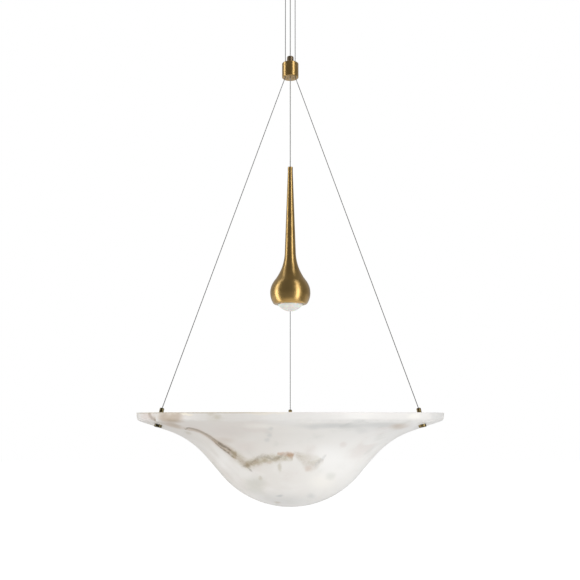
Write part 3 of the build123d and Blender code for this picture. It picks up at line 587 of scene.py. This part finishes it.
def even(line, step):
    """The same line with its points a steady step apart."""
    along = [0.0]
    for a, b in zip(line, line[1:]):
        along.append(along[-1] + (b - a).length)
    count = max(2, round(along[-1] / step))
    found, index = [], 0
    for k in range(count + 1):
        wanted = along[-1] * k / count
        while index < len(line) - 2 and along[index + 1] < wanted:
            index += 1
        span = along[index + 1] - along[index]
        found.append(line[index].lerp(line[index + 1], (wanted - along[index]) / span if span else 0.0))
    return found


LOBE_DEPTH = 0.12


def twisted_cable(name, points, radius, strands, pitch, step, around):
    """A cable of laid strands: one closed tube whose lobes turn along the line."""
    line = even(read_line(points, name + "_guide"), step)
    rings = []
    side = Vector((1.0, 0.0, 0.0))
    travelled = 0.0
    for k, point in enumerate(line):
        ahead = line[min(k + 1, len(line) - 1)] - line[max(k - 1, 0)]
        ahead.normalize()
        side = (side - ahead * side.dot(ahead)).normalized()
        other = ahead.cross(side)
        if k:
            travelled += (point - line[k - 1]).length
        turn = 2 * math.pi * travelled / pitch
        ring = []
        for j in range(around):
            angle = 2 * math.pi * j / around
            lobe = abs(math.sin(strands * (angle - turn) / 2))
            reach = radius * (1.0 - LOBE_DEPTH + LOBE_DEPTH * lobe)
            ring.append(point + side * (reach * math.cos(angle)) + other * (reach * math.sin(angle)))
        rings.append(ring)
    vertices = [vertex for ring in rings for vertex in ring]
    faces = []
    for k in range(len(rings) - 1):
        for j in range(around):
            n = (j + 1) % around
            faces.append((k * around + j, k * around + n, (k + 1) * around + n, (k + 1) * around + j))
    faces.append(tuple(range(around - 1, -1, -1)))
    faces.append(tuple((len(rings) - 1) * around + j for j in range(around)))
    mesh = bpy.data.meshes.new(name)
    mesh.from_pydata([tuple(v) for v in vertices], [], faces)
    mesh.polygons.foreach_set("use_smooth", [True] * len(mesh.polygons))
    made = bpy.data.objects.new(name, mesh)
    scene.collection.objects.link(made)
    return made, line


def cable_steel():
    """Dull steel wire with a fine random mottle of darker grey."""
    s = Shader("twisted_steel_cable")
    place = s.place()
    shade = s.noise(place, 900.0, 3.0, 0.6)
    s.set(Base_Color=s.mix(s.ease(shade, 0.3, 0.7), (0.18, 0.18, 0.178), (0.10, 0.10, 0.098)),
          Metallic=0.45, Roughness=s.math("ADD", s.math("MULTIPLY", shade, 0.15), 0.55))
    return s.material


cable_metal = cable_steel()

# The back cable's route and the point where it leaves the ball, in millimetres
BACK_CABLE = [(0.0, 11.8, -34.0), (0.0, 11.8, -259.0), (0.0, 11.8, -270.0), (0.0, 15.67, -280.3),
              (0.0, 266.334, -947.371), (0.0, 269.852, -956.732), (0.0, 272.774, -969.912)]


def turned(points, degrees):
    """The points turned about the vertical axis."""
    c, n = math.cos(math.radians(degrees)), math.sin(math.radians(degrees))
    return [(x * c - y * n, x * n + y * c, z) for x, y, z in points]


def metres(points):
    return [tuple(value / 1000 for value in point) for point in points]


for side, turn in SIDES.items():
    points = metres(turned(BACK_CABLE, turn))
    piece, line = twisted_cable(f"cable_{side}", points, CABLE_RADIUS, strands=6, pitch=0.012,
                                step=0.0015, around=18)
    piece.data.materials.append(cable_metal)
    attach(piece, "pendant")
    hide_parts(f"suspension_cable_{side}")


def round_cord(name, points, body, replaced):
    """A smooth power cord in the place of a CAD node. Its points are in millimetres."""
    piece = spline(name, metres(points))
    piece.data.bevel_depth = CORD_RADIUS
    piece.data.bevel_resolution = 5
    piece.data.use_fill_caps = True
    piece.data.materials.append(cord_jacket)
    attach(piece, body)
    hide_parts(replaced)


round_cord("power_cord_top", [(0, 0, -30), (0, 0, -42), (0, 0, -258), (0, 0, -269.5)],
           "pendant", "power_cord_upper")
round_cord("power_cord_drop", [(0, 0, -270), (0, 0, -282), (0, 0, -546), (0, 0, -558)],
           "drop_cord", "power_cord_lower")


# Floor, light and background

def plain_stage():
    """White to the camera. What metal mirrors of it is dark in front of the object and paler behind."""
    s = Shader("studio_floor")
    paths = s.node("ShaderNodeLightPath")
    seen = s.math("MAXIMUM", paths.outputs["Is Camera Ray"], paths.outputs["Is Transmission Ray"])
    behind = s.ease(s.split(s.place())[1], -1.0, 3.0, 0.08, 0.42)
    shown = s.math("MULTIPLY", paths.outputs["Is Glossy Ray"], behind)
    glow = s.math("MAXIMUM", s.math("MULTIPLY", seen, 0.40), shown)
    tone = s.mix(paths.outputs["Is Glossy Ray"], (0.80, 0.80, 0.80), (0.10, 0.10, 0.10))
    s.set(Base_Color=tone, Roughness=0.9)
    s.set(Emission_Color=(1.0, 1.0, 1.0, 1.0), Emission_Strength=glow)
    return s.material


floor_mesh = bpy.data.meshes.new("studio_floor")
corners = [(FLOOR_REACH * x, FLOOR_REACH * y, FLOOR_LEVEL) for x, y in ((-1, -1), (1, -1), (1, 1), (-1, 1))]
floor_mesh.from_pydata(corners, [], [(0, 1, 2, 3)])
floor = bpy.data.objects.new("studio_floor", floor_mesh)
floor_mesh.materials.append(plain_stage())
scene.collection.objects.link(floor)


def studio_world():
    """White to the camera. Light falls more from the sides than from above, and what metal
    mirrors is dark in front of the object and pale behind it."""
    world = bpy.data.worlds.new("studio")
    world.use_nodes = True
    tree = world.node_tree

    def mapped(value, low, high, to_low, to_high):
        made = tree.nodes.new("ShaderNodeMapRange")
        made.interpolation_type = "SMOOTHSTEP"
        tree.links.new(value, made.inputs["Value"])
        for key, given in (("From Min", low), ("From Max", high), ("To Min", to_low), ("To Max", to_high)):
            made.inputs[key].default_value = given
        return made.outputs[0]

    def choose(share, a, b):
        made = tree.nodes.new("ShaderNodeMix")
        made.data_type = "FLOAT"
        tree.links.new(share, made.inputs[0])
        for socket, value in ((made.inputs[2], a), (made.inputs[3], b)):
            if isinstance(value, bpy.types.NodeSocket):
                tree.links.new(value, socket)
            else:
                socket.default_value = value
        return made.outputs[0]

    paths = tree.nodes.new("ShaderNodeLightPath")
    parts = tree.nodes.new("ShaderNodeSeparateXYZ")
    tree.links.new(tree.nodes.new("ShaderNodeTexCoord").outputs["Generated"], parts.inputs[0])
    light = mapped(parts.outputs[2], 0.0, 0.85, 0.80, 0.90)
    mirrored = mapped(parts.outputs[1], -0.30, 0.95, 0.12, 0.36)
    clear = tree.nodes.new("ShaderNodeMath")
    clear.operation = "MAXIMUM"
    tree.links.new(paths.outputs["Is Camera Ray"], clear.inputs[0])
    tree.links.new(paths.outputs["Is Transmission Ray"], clear.inputs[1])
    strength = choose(clear.outputs[0], choose(paths.outputs["Is Glossy Ray"], light, mirrored), 1.0)
    tree.links.new(strength, tree.nodes["Background"].inputs["Strength"])
    tree.nodes["Background"].inputs["Color"].default_value = (1.0, 1.0, 1.0, 1.0)
    scene.world = world


studio_world()


def soft_box(name, azimuth, distance, foot, head, width, radiance):
    """An upright soft light from its foot to its head, in metres. Azimuth 0 stands in front,
    and 90 degrees on the picture's right."""
    data = bpy.data.lights.new(name, "AREA")
    data.shape = "RECTANGLE"
    data.size, data.size_y = width, head - foot
    data.energy = radiance * math.pi * width * (head - foot)
    made = bpy.data.objects.new(name, data)
    turn = math.radians(azimuth)
    made.location = (distance * math.sin(turn), -distance * math.cos(turn), (foot + head) / 2)
    made.rotation_euler = (math.radians(90), 0, turn)
    scene.collection.objects.link(made)


soft_box("left_low", -84, 1.9, -2.3, -0.3, 0.66, 2.6)
soft_box("left_middle", -86, 1.9, -0.3, 0.8, 0.66, 2.0)
soft_box("left_high", -92, 1.9, 0.8, 3.2, 0.66, 1.1)
soft_box("right_low", 45, 2.1, -2.3, -0.3, 0.74, 3.0)
soft_box("right_middle", 46, 2.1, -0.3, 0.9, 0.74, 2.4)
soft_box("right_high", 53, 2.1, 0.9, 3.4, 0.74, 1.6)
